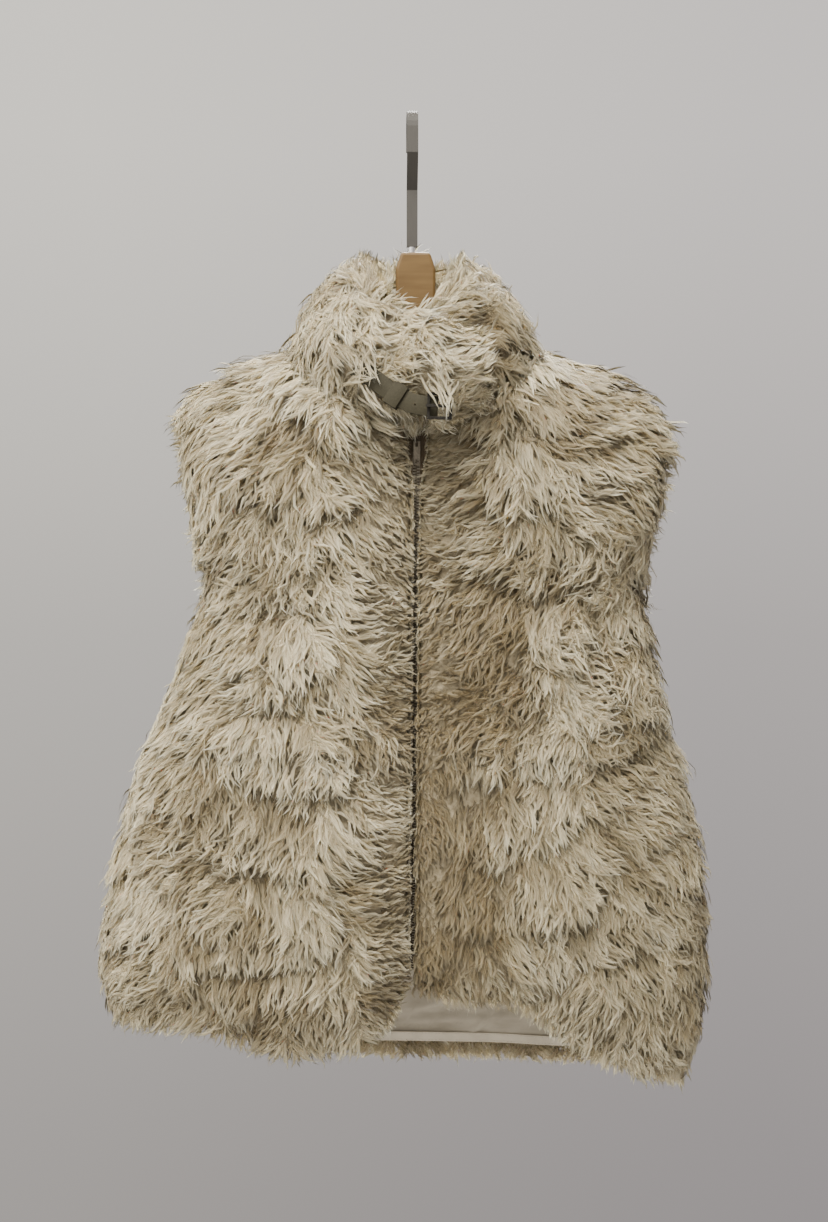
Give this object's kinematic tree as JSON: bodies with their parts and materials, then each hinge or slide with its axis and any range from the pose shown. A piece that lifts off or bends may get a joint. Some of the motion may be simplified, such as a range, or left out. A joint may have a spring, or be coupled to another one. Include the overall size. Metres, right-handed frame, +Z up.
{
  "type": "shearling vest on a hanger",
  "caption": "Sleeveless shearling vest with long cream wool outside and a leather reverse, stand collar with throat strap, front zip, on a wooden hanger.",
  "frame": {"origin": "where the hook's crown rests on a rail, in the middle of the hook's width", "axes": "+Z up, +X to the viewer's right as the vest hangs facing the viewer, +Y to the back of the vest"},
  "size_m": [0.5915, 0.2066, 0.9212],
  "materials": {
    "shearling_wool": "long wavy cream wool on the skin",
    "cream_leather": "soft matt cream leather, the reverse side",
    "strap_leather": "pale olive leather",
    "zip_tape": "woven tape",
    "zip_metal": "antique dark brass",
    "buckle_metal": "dark gunmetal",
    "hanger_wood": "clear-lacquered light wood",
    "hook_steel": "brushed flat bar",
    "pin_chrome": "bright pin"
  },
  "bodies": {
    "vest": {"front_left": "shearling_wool", "front_right": "shearling_wool", "back": "shearling_wool", "collar_left": "shearling_wool", "collar_right": "shearling_wool", "back_hem_facing": "cream_leather", "zip_tape_left": "zip_tape", "zip_tape_right": "zip_tape", "zip_chain": "zip_metal", "zip_slider": "zip_metal", "throat_strap": "strap_leather", "strap_keeper": "strap_leather", "buckle_frame": "buckle_metal", "buckle_prong": "buckle_metal", "hanger": "hanger_wood", "hanger_hook": "hook_steel", "hanger_pin": "pin_chrome"},
    "pull_tab": {"zip_pull_tab": "zip_metal"}
  },
  "joints": [
    {"name": "pull_swing", "type": "hinge", "parent": "vest", "child": "pull_tab", "pos_m": [0.00183, -0.06333, -0.277], "axis": [-1, 0, 0], "range_deg": [0, 130]}
  ]
}
